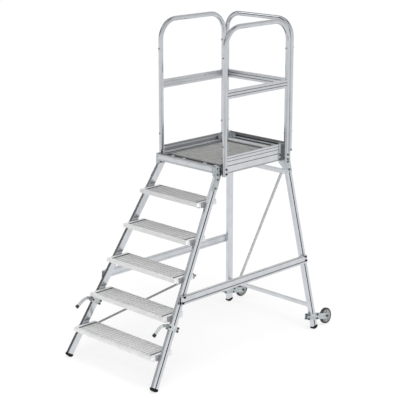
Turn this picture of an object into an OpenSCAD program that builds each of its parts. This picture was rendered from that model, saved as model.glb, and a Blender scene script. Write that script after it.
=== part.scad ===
// Mobile platform ladder in aluminium: five grating treads, a railed platform, two castors on the rear legs.
// Units are millimetres, Z is up, the climber faces +Y and the floor is at zero.

/* [Ladder] */
// Front of the first tread, measured from the middle of the object
first_y = -933.5; // [-960:0.5:-900]
// Height from one tread to the next
rise = 240; // [230:1:250]
// Slope of the stiles above the floor, seen from the side
ladder_angle = 59.5; // [58:0.5:61]
// Inward lean of each side frame
splay = 7; // [6:0.25:8]
// Half the distance between the side frames at the floor
foot_x = 457; // [440:1:480]
// Stile centre line at the floor, measured from the first nose
stile_y = -26; // [-32:1:-20]

/* [Legs] */
// Rear leg centre line at the floor, measured from the first nose
leg_y = 1703; // [1690:1:1720]
// Forward lean of the rear legs
leg_lean = 7.6; // [7:0.1:8]

/* [Frame profile] */
// Profile width across the side frame
prof_w = 25; // [24:0.5:28]
// Profile depth in the side frame
prof_d = 56; // [52:1:60]
// Profile wall
prof_t = 2.5; // [2:0.1:3]
// Opening of the bolt slot
slot_w = 9; // [8.6:0.1:10]
// Radius of the rounded foot sole
sole_r = 45; // [42:1:52]
// Foot plug height on the centre line
plug_h = 24; // [20:1:30]

/* [Treads] */
// Tread depth, front to back
tread_d = 197; // [185:1:205]
// Tread nose depth
nose_d = 22; // [18:1:26]
// Tread nose height
nose_h = 26; // [24:1:30]
// Tread end box height
end_h = 36; // [34:1:38]
// Tread end box width
end_w = 29; // [26:1:34]
// Grating height
grate_h = 22; // [18:1:24]
// Pitch of the grating bars
grate_pitch = 33.3; // [30:0.1:36]
// Thickness of the grating bars
grate_bar = 2.6; // [2.2:0.1:4]

/* [Platform] */
// Distance of the platform nose behind the tread line
setback = 30; // [20:1:36]
// Side beam height
beam_h = 56; // [52:1:60]
// Platform nose level above the side beam
nose_up = 18; // [14:1:22]
// Toe board height above the side beam
toe_h = 70; // [66:1:84]
// Toe board thickness
toe_t = 20; // [18:1:22]

/* [Guard rails] */
// Rail tube diameter
tube_d = 36; // [34:0.5:40]
// Rail tube wall
tube_t = 2.5; // [2:0.1:3]
// Rail centre line above the platform nose
rail_up = 974; // [940:1:1010]
// Bend radius of the side rails
bend_side = 150; // [130:1:165]
// Bend radius of the rear rail
bend_rear = 130; // [110:1:150]
// Knee rail height
knee_h = 60; // [54:1:66]
// Knee rail top above the platform nose
knee_up = 536; // [500:1:560]

/* [Braces] */
// Side brace height
brace_h = 62; // [56:1:68]
// Side brace thickness
brace_t = 22; // [20:1:25]
// Side brace bottom level
brace_z = 543; // [530:1:560]

/* [Handles] */
// Handle tube diameter
handle_d = 22; // [20:0.5:23]
// Wall of the handle tube
handle_t = 2; // [1.5:0.1:2.5]
// Handle level below the second tread
handle_drop = 82; // [82:1:100]
// Handle bend radius
handle_r = 70; // [60:1:80]
// Handle bend angle
handle_bend = 66; // [58:1:74]

/* [Castors] */
// Wheel diameter
wheel_d = 125; // [120:1:128]
// Distance of the axle behind the leg
axle_back = 156; // [150:1:166]
// Axle diameter
axle_d = 12; // [10:0.5:14]
// Clearance of the raised wheel over the floor
wheel_lift = 4; // [3:0.5:6]

/* [Output] */
// Piece to draw

/* [Hidden] */
$fn = 64;
tread_n = 5;
eps = 0.01;
seat = 0.1;
hole_gap = 0.25;
far = 3000;
corner_r = 2.5;
board_wall = 3.6;
board_r = 1.5;
board_web = 3;
mesh_part = 3;
groove = 2.2;
toe_box = 16;
lip_h = 9;
lip_up = 14;

// Levels
deck_z = rise * (tread_n + 1);
beam_top = deck_z - nose_up;
beam_bot = beam_top - beam_h;
toe_top = beam_top + toe_h;
rail_z = deck_z + rail_up;

// Directions of the side frames, stiles and legs
run = rise / tan(ladder_angle);
k_in = tan(splay);
stile_a = atan(cos(splay) / tan(ladder_angle));
leg_a = atan(tan(leg_lean) * cos(splay));
sole_v = sole_r + (prof_w / 2 + 1) * k_in;

function stile_axis(z) = first_y + stile_y + z / tan(ladder_angle);
function leg_axis(z) = first_y + leg_y - z * tan(leg_lean);
function up_plane(z) = z / cos(splay);
function inner_x(z) = foot_x - prof_w / 2 / cos(splay) - z * k_in;
function outer_x(z) = foot_x + prof_w / 2 / cos(splay) - z * k_in;
function nose_y(k) = first_y + (k - 1) * run;

// Platform plan
beam_out = outer_x(beam_bot);
beam_in = beam_out - prof_w;
front_y = nose_y(tread_n + 1) + setback;
beam_front = front_y + 6;
beam_back = leg_axis(beam_bot) + prof_d / 2 + 2;
gusset_t = 4;
post_x = beam_out + gusset_t + tube_d / 2;
post_front = front_y + 80;
post_back = leg_axis(beam_bot) - 39;
hoop_y = post_back + tube_d + seat;
post_drop = 8;
post_bot = beam_bot - post_drop;
hoop_bot = beam_top + 10;
toe_in = beam_out - toe_t;
toe_front = post_front + 4;
toe_back = post_back - 60;
rear_lap = 12;
rear_w = 62;
rear_in = post_back - rear_lap;
rear_out = rear_in + rear_w;
nose_deep = 26;
nose_drop = 50;
deck_t = 25;
deck_top = beam_top + 3;
deck_bot = deck_top - deck_t;
deck_gap = 62;
deck_front = front_y + nose_deep + deck_gap;
deck_back = rear_in - 9;
deck_half = beam_in - 14;
sheet_t = 3;
bearer = 25;

// Fasteners
bolt_d = 8;
head_r = 7.5;
head_h = 5.3;
washer_r = 8;
washer_t = 1.6;
nut_h = 6.5;
hex = 6;
slot_deep = 7;
slot_wide = 17;
slot_wall = 2;

// Upper and lower bolts of the platform corners
bolt_hi = beam_top - 10;
bolt_lo = beam_bot + 12;
pin_low = 137;
pin_edge = 57;
pin_high = rail_up - bend_side - pin_edge;
pin_levels = [deck_z + pin_low, deck_z + pin_high];

// Castor plate line
castor_z = 100;
castor_v = up_plane(castor_z);
castor_y = leg_axis(castor_z);
wheel_w = prof_w - 1;
axle_v = up_plane(wheel_d / 2 + wheel_lift + prof_w / 2 * sin(splay));
axle_y = castor_y + axle_back;
castor_len = norm([axle_y - castor_y, axle_v - castor_v]);
castor_a = atan2(axle_v - castor_v, axle_y - castor_y);
plate_t = 4;

// Clamp of the lift handle along the stile
handle_z = 2 * rise - handle_drop;
clamp_s = handle_z / cos(splay) / cos(stile_a);
clamp_half = 20;
clamp_fore = 19;
clamp_aft = 22;

// Flat shapes
module rounded(w, h, r) {
    square([w - 2 * r, h], center = true);
    square([w, h - 2 * r], center = true);
    for (sx = [-1, 1], sy = [-1, 1])
        translate([sx * (w / 2 - r), sy * (h / 2 - r)])
            circle(r);
}

module hollow(w, h, t, r) {
    difference() {
        rounded(w, h, r);
        square([w - 2 * t, h - 2 * t], center = true);
    }
}

module ring(d, t) {
    difference() {
        circle(d = d);
        circle(d = d - 2 * t);
    }
}

// Stile and leg section, bolt slot on the outer wide face
module frame_section() {
    difference() {
        union() {
            hollow(prof_w, prof_d, prof_t, corner_r);
            translate([prof_w / 2 - prof_t - slot_deep - slot_wall, -slot_wide / 2 - slot_wall])
                square([slot_deep + slot_wall + eps, slot_wide + 2 * slot_wall]);
        }
        translate([prof_w / 2 - prof_t - slot_deep, -slot_wide / 2])
            square([slot_deep, slot_wide]);
        translate([prof_w / 2 - prof_t - 1, -slot_w / 2])
            square([prof_t + 2, slot_w]);
    }
}

// Board section standing upright, two chambers, grooves in both faces at parts of its height
module grooved(t, h, marks) {
    difference() {
        translate([0, h / 2]) {
            hollow(t, h, board_wall, board_r);
            square([t - board_wall, board_web], center = true);
        }
        for (m = marks, s = [-1, 1])
            translate([s * t / 2 - groove, h * m - groove])
                square([2 * groove, 2 * groove]);
    }
}

// Toe board section: grooved outer wall, slotted box along the top, lip and foot towards the platform
module toe_section(h, marks) {
    difference() {
        union() {
            translate([toe_t / 2 - board_wall, 0])
                square([board_wall, h]);
            translate([0, h - toe_box / 2])
                hollow(toe_t, toe_box, board_wall, board_r);
            translate([-toe_t / 2, lip_up + lip_h - board_wall])
                square([toe_t, board_wall]);
            translate([-toe_t / 2, lip_up])
                square([board_wall, lip_h]);
            translate([-toe_t / 2, 0])
                square([toe_t, sheet_t]);
        }
        for (m = marks)
            translate([toe_t / 2 - groove, h * m - groove])
                square([2 * groove, 2 * groove]);
        translate([-slot_w / 2, h - board_wall - eps])
            square([slot_w, board_wall + 1]);
    }
}

// Frames of reference
module right_side() {
    translate([foot_x, 0, 0])
        rotate([0, -splay, 0])
            children();
}

module left_side() {
    mirror([1, 0, 0])
        right_side()
            children();
}

module both_sides() {
    right_side()
        children();
    left_side()
        children();
}

module both() {
    children();
    mirror([1, 0, 0])
        children();
}

module on_stile() {
    translate([0, stile_axis(0), 0])
        rotate([-stile_a, 0, 0])
            children();
}

module on_leg() {
    translate([0, leg_axis(0), 0])
        rotate([leg_a, 0, 0])
            children();
}

module on_castor() {
    translate([0, castor_y, castor_v])
        rotate([castor_a, 0, 0])
            children();
}

// Wedge of space between the inner faces of the two side frames
module between(gap) {
    translate([0, far, 0])
        rotate([90, 0, 0])
            linear_extrude(2 * far)
                polygon([[-inner_x(0) + gap, 0], [inner_x(0) - gap, 0],
                         [inner_x(deck_z) - gap, deck_z], [-inner_x(deck_z) + gap, deck_z]]);
}

// Straight round bar from one point to another
module rod(p, q, d) {
    v = q - p;
    translate(p)
        rotate([0, acos(v[2] / norm(v)), atan2(v[1], v[0])])
            cylinder(h = norm(v), d = d);
}

// Hexagon screw along +X, head at the origin, shank towards -X
module screw(len) {
    rotate([0, 90, 0]) {
        cylinder(h = washer_t, r = washer_r);
        translate([0, 0, washer_t - eps])
            cylinder(h = head_h, r = head_r, $fn = hex);
        translate([0, 0, -len])
            cylinder(h = len + eps, d = bolt_d);
    }
}

// The same with a nut on its end
module bolt(grip) {
    screw(grip + nut_h);
    translate([-grip - nut_h, 0, 0])
        rotate([0, 90, 0])
            cylinder(h = nut_h, r = head_r, $fn = hex);
}

module bolt_hole(grip) {
    translate([-grip - eps, 0, 0])
        rotate([0, 90, 0])
            cylinder(h = grip + 2 * eps, d = bolt_d + 2 * hole_gap);
}

// Slot bolt along +X: head outside, square nut inside the bolt slot
module slot_bolt(grip) {
    nut_t = slot_deep - 1;
    rotate([0, 90, 0]) {
        cylinder(h = washer_t, r = washer_r);
        translate([0, 0, washer_t - eps])
            cylinder(h = head_h, r = head_r, $fn = hex);
        translate([0, 0, -grip - prof_t - nut_t])
            cylinder(h = grip + prof_t + nut_t + eps, d = bolt_d);
        translate([-slot_wide / 2 + 1, -slot_wide / 2 + 1, -grip - prof_t - nut_t])
            cube([slot_wide - 2, slot_wide - 2, nut_t]);
    }
}

// Places of the slot bolts on stile and leg, each a distance along its profile
brace_mid = up_plane(brace_z) + brace_h / 2;
brace_step = brace_h * 0.29;
leg_step = [-brace_h * 0.16, brace_h * 0.32];
brace_stile = [for (d = [-brace_step, brace_step]) (brace_mid + d) / cos(stile_a)];
brace_leg = [for (d = leg_step) (brace_mid + d) / cos(leg_a)];
gusset_stile = [for (z = [beam_bot - 25, beam_bot - 82]) up_plane(z) / cos(stile_a)];
gusset_leg = [for (z = [beam_bot - 22, beam_bot - 83]) up_plane(z) / cos(leg_a)];

// Two bolts of each tread end, in the plane of the side frame
bolt_drop = 21;

function tread_rows(k) = [for (d = [-1, 1])
    [stile_axis(k * rise - bolt_drop) + d * 14, up_plane(k * rise - bolt_drop)]];

module tread_holes() {
    deep = prof_t + 2 * sheet_t + 2;
    for (k = [1 : tread_n], p = tread_rows(k))
        translate([-prof_w / 2 + prof_t + 1, p[0], p[1]])
            rotate([0, -90, 0])
                cylinder(h = deep, d = bolt_d + 2 * hole_gap);
}

// Stiles and legs
module stile() {
    difference() {
        right_side()
            difference() {
                on_stile()
                    translate([0, 0, sole_v / cos(stile_a) - sole_r + plug_h])
                        linear_extrude(up_plane(deck_z) / cos(stile_a))
                            frame_section();
                tread_holes();
            }
        translate([-far, -far, beam_bot])
            cube([2 * far, 2 * far, far]);
    }
}

module left_stile() {
    color("silver")
        mirror([1, 0, 0])
            stile();
}

module right_stile() {
    color("silver")
        stile();
}

module leg() {
    difference() {
        right_side()
            on_leg()
                translate([0, 0, sole_v / cos(leg_a) - sole_r + plug_h])
                    linear_extrude(up_plane(deck_z))
                        frame_section();
        translate([-far, -far, beam_bot])
            cube([2 * far, 2 * far, far]);
    }
}

module left_leg() {
    color("silver")
        mirror([1, 0, 0])
            leg();
}

module right_leg() {
    color("silver")
        leg();
}

// Foot plug: rounded sole, flange as wide as the profile, spigot inside the profile
module foot_plug(a) {
    spigot_w = prof_w - 2 * prof_t - slot_deep - slot_wall - 0.6;
    spigot_d = prof_d - 2 * prof_t - 0.6;
    translate([0, 0, sole_v / cos(a)]) {
        translate([-prof_w / 2 - 1, 0, 0])
            rotate([90, 0, 90])
                linear_extrude(prof_w + 2)
                    intersection() {
                        circle(sole_r, $fn = 128);
                        translate([-prof_d / 2 - 1, -sole_r])
                            square([prof_d + 2, plug_h]);
                    }
        translate([-prof_w / 2 + prof_t + 0.3, -spigot_d / 2, -sole_r + plug_h - eps])
            cube([spigot_w, spigot_d, plug_h]);
    }
}

module foot_plugs() {
    color("black")
        both_sides() {
            on_stile()
                foot_plug(stile_a);
            on_leg()
                foot_plug(leg_a);
        }
}

// Treads
bracket_gap = sheet_t + seat;
ledge = 14;
grate_gap = 9;

module tread_nose() {
    translate([-far / 2, 0, 0])
        rotate([90, 0, 90])
            linear_extrude(far)
                difference() {
                    union() {
                        translate([nose_h / 4, -nose_h / 4])
                            circle(nose_h / 4);
                        translate([0, -nose_h])
                            square([nose_d, nose_h * 3 / 4]);
                        translate([nose_h / 4, -nose_h])
                            square([nose_d - nose_h / 4, nose_h]);
                        translate([nose_d - eps, -grate_h - sheet_t])
                            square([ledge, sheet_t]);
                    }
                    translate([sheet_t, -nose_h + sheet_t])
                        square([nose_d - 2 * sheet_t, nose_h - 3 * sheet_t]);
                }
}

// Long flat slab across the whole ladder
module slab(y, z, d, h) {
    translate([-far / 2, y, z])
        cube([far, d, h]);
}

module tread_frame(k) {
    box_d = tread_d - nose_d;
    color("gainsboro")
        translate([0, nose_y(k), 0])
            difference() {
                union() {
                    intersection() {
                        between(bracket_gap);
                        translate([0, 0, k * rise])
                            tread_nose();
                    }
                    difference() {
                        intersection() {
                            between(bracket_gap);
                            slab(nose_d - eps, k * rise - end_h, box_d, end_h);
                        }
                        intersection() {
                            between(bracket_gap + end_w);
                            union() {
                                slab(nose_d - 1, k * rise - grate_h, far, far);
                                slab(nose_d - 1, k * rise - grate_h - sheet_t - far, far, far);
                            }
                        }
                        between(bracket_gap + end_w + ledge);
                        difference() {
                            intersection() {
                                between(bracket_gap + sheet_t);
                                slab(nose_d + sheet_t, k * rise - end_h - 1, box_d - 2 * sheet_t,
                                     end_h + 1 - sheet_t);
                            }
                            between(bracket_gap + end_w - sheet_t);
                        }
                    }
                }
                translate([0, -nose_y(k), 0])
                    both_sides()
                        tread_holes();
                for (p = tab_points)
                    if (p[0] == k)
                        translate([0, -nose_y(k), 0])
                            tab_hole(p);
            }
}

module tread_1_frame() { tread_frame(1); }
module tread_2_frame() { tread_frame(2); }
module tread_3_frame() { tread_frame(3); }
module tread_4_frame() { tread_frame(4); }
module tread_5_frame() { tread_frame(5); }

// Grid of bars, filled out evenly to the full length and depth
module grid(lx, ly, px, py, bar) {
    nx = round((lx - bar) / px);
    ny = round((ly - bar) / py);
    sx = (lx - bar) / nx;
    sy = (ly - bar) / ny;
    translate([-lx / 2, 0])
        difference() {
            square([lx, ly]);
            for (i = [0 : nx - 1], j = [0 : ny - 1])
                translate([bar + i * sx, bar + j * sy])
                    square([sx - bar, sy - bar]);
        }
}

module tread_grating(k) {
    half = inner_x(k * rise) - bracket_gap - end_w - grate_gap;
    color("lightgray")
        translate([0, nose_y(k) + nose_d + 2, k * rise - grate_h])
            linear_extrude(grate_h)
                grid(2 * half, tread_d - nose_d - 2, grate_pitch, grate_pitch / mesh_part, grate_bar);
}

module tread_1_grating() { tread_grating(1); }
module tread_2_grating() { tread_grating(2); }
module tread_3_grating() { tread_grating(3); }
module tread_4_grating() { tread_grating(4); }
module tread_5_grating() { tread_grating(5); }

// Bracket between stile and tread end: a leaning plate and a level shelf under the end box
bracket_fore = 38;
bracket_len = 104;
shelf_w = 24;

module tread_bracket(k) {
    z = k * rise;
    y = stile_axis(z) - prof_d / 2 / sin(ladder_angle) - bracket_fore;
    low = z - end_h - sheet_t;
    intersection() {
        union() {
            right_side()
                translate([-prof_w / 2 - sheet_t, y, up_plane(low) - sheet_t])
                    cube([sheet_t, bracket_len, up_plane(z + 3 - low) + sheet_t]);
            intersection() {
                difference() {
                    between(0);
                    between(shelf_w);
                }
                translate([0, y + bracket_fore, low])
                    cube([far, bracket_len - bracket_fore, sheet_t]);
            }
        }
        slab(y, low, bracket_len, far);
    }
}

module tread_brackets() {
    color("dimgray")
        both()
            difference() {
                for (k = [1 : tread_n])
                    tread_bracket(k);
                right_side()
                    tread_holes();
            }
}

module tread_bolts() {
    face = (bracket_gap + sheet_t) * cos(splay);
    color("gray")
        both_sides()
            for (k = [1 : tread_n], p = tread_rows(k))
                translate([-prof_w / 2 - face, p[0], p[1]])
                    rotate([0, -90, 0]) {
                        translate([0, 0, -face - prof_t - 2])
                            cylinder(h = face + prof_t + 2 + eps, d = bolt_d);
                        cylinder(h = washer_t, r = washer_r);
                        translate([0, 0, washer_t - eps])
                            cylinder(h = head_h, r = head_r, $fn = hex);
                    }
    color("gray")
        for (p = tab_points)
            translate(tab_point(p, -sheet_t))
                rotate([0, 0, -90])
                    screw(sheet_t + boss_bore - 2);
}

// Diagonal rod from the back of the first tread to the back of the third, on two round bosses
tab_in = 15;
tab_low = 23;
tab_t = 4;
rod_d = 16;
rod_off = 17;
boss_r = 9;
boss_bore = 12;
tab_points = [[1, -1], [3, 1]];

function tab_point(p, out) = [p[1] * (inner_x(p[0] * rise) - tab_in), nose_y(p[0]) + tread_d + out,
                              p[0] * rise - tab_low];

module tab_hole(p) {
    translate(tab_point(p, -sheet_t - eps))
        rotate([-90, 0, 0])
            cylinder(h = sheet_t + boss_bore, d = bolt_d + 2 * hole_gap);
}

module ladder_diagonal() {
    color("dimgray")
        difference() {
            union() {
                rod(tab_point(tab_points[0], rod_off), tab_point(tab_points[1], rod_off), rod_d);
                for (p = tab_points)
                    translate(tab_point(p, 0))
                        rotate([-90, 0, 0])
                            cylinder(h = rod_off + boss_r, r = boss_r);
            }
            for (p = tab_points)
                tab_hole(p);
        }
}

// Lift handles
root_y = -prof_d / 2 - seat;
handle_s1 = 30;
handle_s2 = 62;
cap_len = 16;
cap_t = 2;
collar_len = 8;
collar_up = 0.6;
collar_trim = 1.2;
root_bolt = -prof_d / 2 - 10;
clamp_back = prof_d / 2 + 12;
clamp_rows = [[root_bolt, 0], [clamp_back, -11], [clamp_back, 11]];

module at_clamp() {
    on_stile()
        translate([0, 0, clamp_s])
            children();
}

// Frame at the end of the bend, the straight grip runs along its -Y
module past_bend() {
    translate([0, root_y - handle_s1, -handle_r])
        rotate([handle_bend, 0, 0])
            translate([0, 0, handle_r])
                rotate([90, 0, 0])
                    children();
}

module handle() {
    at_clamp()
        difference() {
            union() {
                translate([0, root_y, 0])
                    rotate([90, 0, 0])
                        linear_extrude(handle_s1)
                            ring(handle_d, handle_t);
                translate([0, root_y - handle_s1, -handle_r])
                    rotate([180, -90, 0])
                        rotate_extrude(angle = handle_bend - collar_trim)
                            translate([handle_r, 0])
                                ring(handle_d, handle_t);
                past_bend()
                    translate([0, 0, collar_len / 4])
                        linear_extrude(handle_s2 - collar_len / 4)
                            ring(handle_d, handle_t);
                past_bend()
                    translate([0, 0, -collar_len / 2])
                        linear_extrude(collar_len)
                            ring(handle_d + 2 * collar_up, handle_t + 2 * collar_up);
            }
            translate([handle_d, root_bolt, 0])
                bolt_hole(2 * handle_d);
        }
}

module left_handle() {
    color("lightgray")
        left_side()
            handle();
}

module right_handle() {
    color("lightgray")
        right_side()
            handle();
}

module clamp_plate() {
    difference() {
        translate([0, -prof_d / 2 - clamp_fore, -clamp_half])
            cube([plate_t, prof_d + clamp_fore + clamp_aft, 2 * clamp_half]);
        for (p = clamp_rows)
            translate([plate_t, p[0], p[1]])
                bolt_hole(plate_t);
    }
}

module handle_clamps() {
    color("darkgray")
        both_sides()
            at_clamp()
                for (s = [0, 1])
                    mirror([s, 0, 0])
                        translate([prof_w / 2, 0, 0])
                            clamp_plate();
}

module handle_caps() {
    color("black")
        both_sides()
            at_clamp()
                past_bend()
                    translate([0, 0, handle_s2 - cap_len])
                        difference() {
                            cylinder(h = cap_len + cap_t, d = handle_d + 2 * cap_t);
                            translate([0, 0, -eps])
                                cylinder(h = cap_len + eps, d = handle_d + 2 * seat);
                        }
}

// Side braces
brace_marks = [0.27, 0.9];
brace_front = stile_axis(brace_z + brace_h / 2) - 24;
brace_back = leg_axis(brace_z + brace_h / 2) + 15;

module brace_holes() {
    for (s = brace_stile)
        on_stile()
            translate([prof_w / 2 + brace_t, 0, s])
                bolt_hole(brace_t);
    for (s = brace_leg)
        on_leg()
            translate([prof_w / 2 + brace_t, 0, s])
                bolt_hole(brace_t);
}

module side_brace() {
    right_side()
        difference() {
            translate([prof_w / 2 + brace_t / 2, brace_back, up_plane(brace_z)])
                rotate([90, 0, 0])
                    linear_extrude(brace_back - brace_front)
                        grooved(brace_t, brace_h, brace_marks);
            brace_holes();
        }
}

module left_side_brace() {
    color("gainsboro")
        mirror([1, 0, 0])
            side_brace();
}

module right_side_brace() {
    color("gainsboro")
        side_brace();
}

module brace_bolts() {
    color("black")
        both_sides() {
            for (s = brace_stile)
                on_stile()
                    translate([prof_w / 2 + brace_t, 0, s])
                        slot_bolt(brace_t);
            for (s = brace_leg)
                on_leg()
                    translate([prof_w / 2 + brace_t, 0, s])
                        slot_bolt(brace_t);
        }
}

// Rear frame
bar_w = 25;
bar_t = 2;
low_bar_z = 178;
low_bar_h = 26;
top_bar_drop = 196;
top_bar_z = deck_z - top_bar_drop;
top_bar_h = 32;
diag_d = 21;
lug_r = 16;
lug_wall = 3;
lug_h = 8;

module cross_bar(z, h) {
    intersection() {
        between(0);
        translate([-far / 2, leg_axis(z + h / 2), z + h / 2])
            rotate([90, 0, 90])
                linear_extrude(far)
                    hollow(bar_w, h, bar_t, 1.5);
    }
}

function diag_end(s) = s > 0
    ? [inner_x(top_bar_z) - 68, leg_axis(top_bar_z + top_bar_h / 2) + bar_w / 2, top_bar_z + top_bar_h / 2]
    : [-inner_x(low_bar_z) + 70, leg_axis(low_bar_z + low_bar_h / 2) + bar_w / 2, low_bar_z + low_bar_h / 2];

module diag_holes() {
    for (s = [-1, 1])
        translate(diag_end(s))
            rotate([90, 0, 0])
                translate([0, 0, -tab_t - 1])
                    cylinder(h = bar_t + tab_t + 2, d = bolt_d + 2 * hole_gap);
}

module rear_bottom_bar() {
    color("gainsboro")
        difference() {
            cross_bar(low_bar_z, low_bar_h);
            diag_holes();
        }
}

module rear_top_bar() {
    color("gainsboro")
        difference() {
            cross_bar(top_bar_z, top_bar_h);
            diag_holes();
        }
}

module rear_diagonal() {
    lift = [0, tab_t + diag_d / 2 - 1, 0];
    color("lightgray")
        difference() {
            union() {
                rod(diag_end(-1) + lift, diag_end(1) + lift, diag_d);
                for (s = [-1, 1])
                    translate(diag_end(s))
                        rotate([-90, 0, 0])
                            cylinder(h = tab_t + lug_h, r = lug_r);
            }
            for (s = [-1, 1])
                translate(diag_end(s) + [0, tab_t, 0])
                    rotate([-90, 0, 0])
                        cylinder(h = diag_d * 2, r = lug_r - lug_wall);
            diag_holes();
        }
}

// Platform frame
front_bolts = [[beam_front + 20, bolt_lo]];
rear_bolts = [for (z = [bolt_hi, bolt_lo]) [toe_back + 12, z]];
post_rows = [for (y = [post_front, post_back], z = [bolt_hi, bolt_lo]) [y, z]];
beam_bolts = concat(front_bolts, rear_bolts, post_rows);

module beam_holes() {
    for (p = beam_bolts)
        translate([beam_out + gusset_t + tube_d + eps, p[0], p[1]])
            bolt_hole(prof_w + gusset_t + tube_d + 2 * eps);
}

module side_beam() {
    difference() {
        translate([beam_out - prof_w / 2, beam_back, beam_bot + beam_h / 2])
            rotate([90, 0, 0])
                linear_extrude(beam_back - beam_front)
                    hollow(prof_w, beam_h, prof_t, corner_r);
        beam_holes();
    }
}

module left_side_beam() {
    color("gainsboro")
        mirror([1, 0, 0])
            side_beam();
}

module right_side_beam() {
    color("gainsboro")
        side_beam();
}

module front_nose_beam() {
    r = nose_deep / 2;
    color("gainsboro")
        translate([-beam_in, front_y, deck_z])
            rotate([90, 0, 90])
                linear_extrude(2 * beam_in)
                    difference() {
                        union() {
                            translate([r, -r])
                                circle(r);
                            translate([0, -nose_drop])
                                square([nose_deep, nose_drop - r]);
                            translate([r, -nose_drop])
                                square([nose_deep - r, nose_drop]);
                        }
                        translate([sheet_t, -nose_drop + sheet_t])
                            square([nose_deep - 2 * sheet_t, nose_drop - sheet_t - r]);
                    }
}

module rear_beam() {
    color("gainsboro")
        translate([-beam_in, (rear_in + rear_out) / 2, (beam_bot + deck_z) / 2])
            rotate([90, 0, 90])
                linear_extrude(2 * beam_in)
                    hollow(rear_out - rear_in, deck_z - beam_bot, sheet_t, corner_r);
}

// Angle running along +X from the origin, one leg down the -Y face, one leg flat on top
module angle(len, down, flat) {
    translate([0, 0, -down])
        cube([len, sheet_t, down]);
    translate([0, 0, -sheet_t])
        cube([len, flat, sheet_t]);
}

module deck_bearers() {
    bear_front = front_y + nose_deep;
    bear_lap = 30;
    bear_gap = deck_gap + bear_lap;
    bear_drop = bearer / 2;
    color("darkgray") {
        both()
            translate([beam_in, bear_front + bear_gap, deck_bot])
                rotate([0, 0, 90])
                    angle(toe_back - bear_front - bear_gap, bearer, bearer);
        translate([-beam_in, bear_front, deck_bot])
            angle(2 * beam_in, bear_drop, bear_gap - sheet_t);
        translate([beam_in, rear_in, deck_bot])
            rotate([0, 0, 180])
                angle(2 * beam_in, bearer, bearer);
    }
}

module deck_grating() {
    color("darkgray")
        translate([0, deck_front, deck_bot])
            linear_extrude(deck_t)
                grid(2 * deck_half, deck_back - deck_front, grate_pitch, grate_pitch / mesh_part, grate_bar);
}

clip_x = [-0.78, -0.33, 0.48, 0.9];

module deck_clips() {
    clip_w = 26;
    clip_leg = 12;
    clip_y = front_y + nose_deep;
    clip_len = deck_front - clip_y;
    color("white")
        for (f = clip_x)
            translate([f * deck_half - clip_w / 2, clip_y, deck_top]) {
                translate([0, 0, -sheet_t])
                    cube([clip_w, clip_len, sheet_t]);
                for (y = [0, clip_len - sheet_t])
                    translate([0, y, -clip_leg])
                        cube([clip_w, sheet_t, clip_leg]);
            }
}

// Gusset plates: a flat part on the side beam, a leaning part on the stile or leg
stile_lap = 95;
leg_lap = 104;
plate_cut = 6;

module plate_holes(rows, slots, stile_side) {
    for (p = rows)
        translate([beam_out + gusset_t, p[0], p[1]])
            bolt_hole(gusset_t);
    right_side()
        for (s = slots)
            if (stile_side)
                on_stile()
                    translate([prof_w / 2 + gusset_t, 0, s])
                        bolt_hole(gusset_t);
            else
                on_leg()
                    translate([prof_w / 2 + gusset_t, 0, s])
                        bolt_hole(gusset_t);
}

module yz_plate(t) {
    rotate([90, 0, 90])
        linear_extrude(t)
            children();
}

module front_gusset() {
    y0 = beam_front;
    y1 = post_front - tube_d / 2 - 12;
    bend_v = up_plane(beam_bot) - prof_w / 2 * k_in;
    low_v = up_plane(beam_bot - stile_lap);
    half = prof_d / 2 / sin(ladder_angle);
    mid_y = stile_axis(beam_bot - stile_lap);
    top_y = stile_axis(beam_bot);
    difference() {
        union() {
            translate([beam_out, 0, 0])
                yz_plate(gusset_t)
                    polygon([[y0, beam_bot], [y1, beam_bot], [y1, deck_z - plate_cut], [y1 - plate_cut, deck_z],
                             [y0 + plate_cut, deck_z], [y0, deck_z - plate_cut]]);
            right_side()
                translate([prof_w / 2, 0, 0])
                    yz_plate(gusset_t)
                        polygon([[mid_y - half + 2, low_v], [mid_y + half - 4, low_v],
                                 [min(top_y + half, y1), bend_v - 20], [min(top_y + half, y1), bend_v],
                                 [y0, bend_v], [y0, bend_v - 12]]);
        }
        plate_holes(front_bolts, gusset_stile, true);
    }
}

module rear_gusset() {
    y0 = toe_back + 2;
    y1 = beam_back;
    bend_v = up_plane(beam_bot) - prof_w / 2 * k_in;
    low_v = up_plane(beam_bot - leg_lap);
    half = prof_d / 2;
    mid_y = leg_axis(beam_bot - leg_lap);
    difference() {
        union() {
            translate([beam_out, 0, 0])
                yz_plate(gusset_t)
                    polygon([[y0, beam_bot], [y1, beam_bot], [y1, toe_top], [y0, toe_top]]);
            right_side()
                translate([prof_w / 2, 0, 0])
                    yz_plate(gusset_t)
                        polygon([[mid_y - half, low_v], [mid_y + half - 2, low_v], [y1, bend_v - 14],
                                 [y1, bend_v], [y0, bend_v], [y0, bend_v - 14]]);
        }
        plate_holes(concat(rear_bolts, [[post_back, bolt_hi], [post_back, bolt_lo]]), gusset_leg, false);
        hoop_hole();
    }
}

module front_gussets() {
    color("darkgray")
        both()
            front_gusset();
}

module rear_gussets() {
    color("darkgray")
        both()
            rear_gusset();
}

// Bolt of the rear hoop foot through the rear gusset
module hoop_hole() {
    translate([beam_out + gusset_t + tube_d + eps, hoop_y, beam_top + 22])
        bolt_hole(gusset_t + tube_d + 2 * eps);
}

module corner_pin(z) {
    translate([post_x, post_back - tube_d / 2 - eps, z])
        rotate([0, 0, -90])
            bolt_hole(2 * tube_d + seat + 2 * eps);
}

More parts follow.
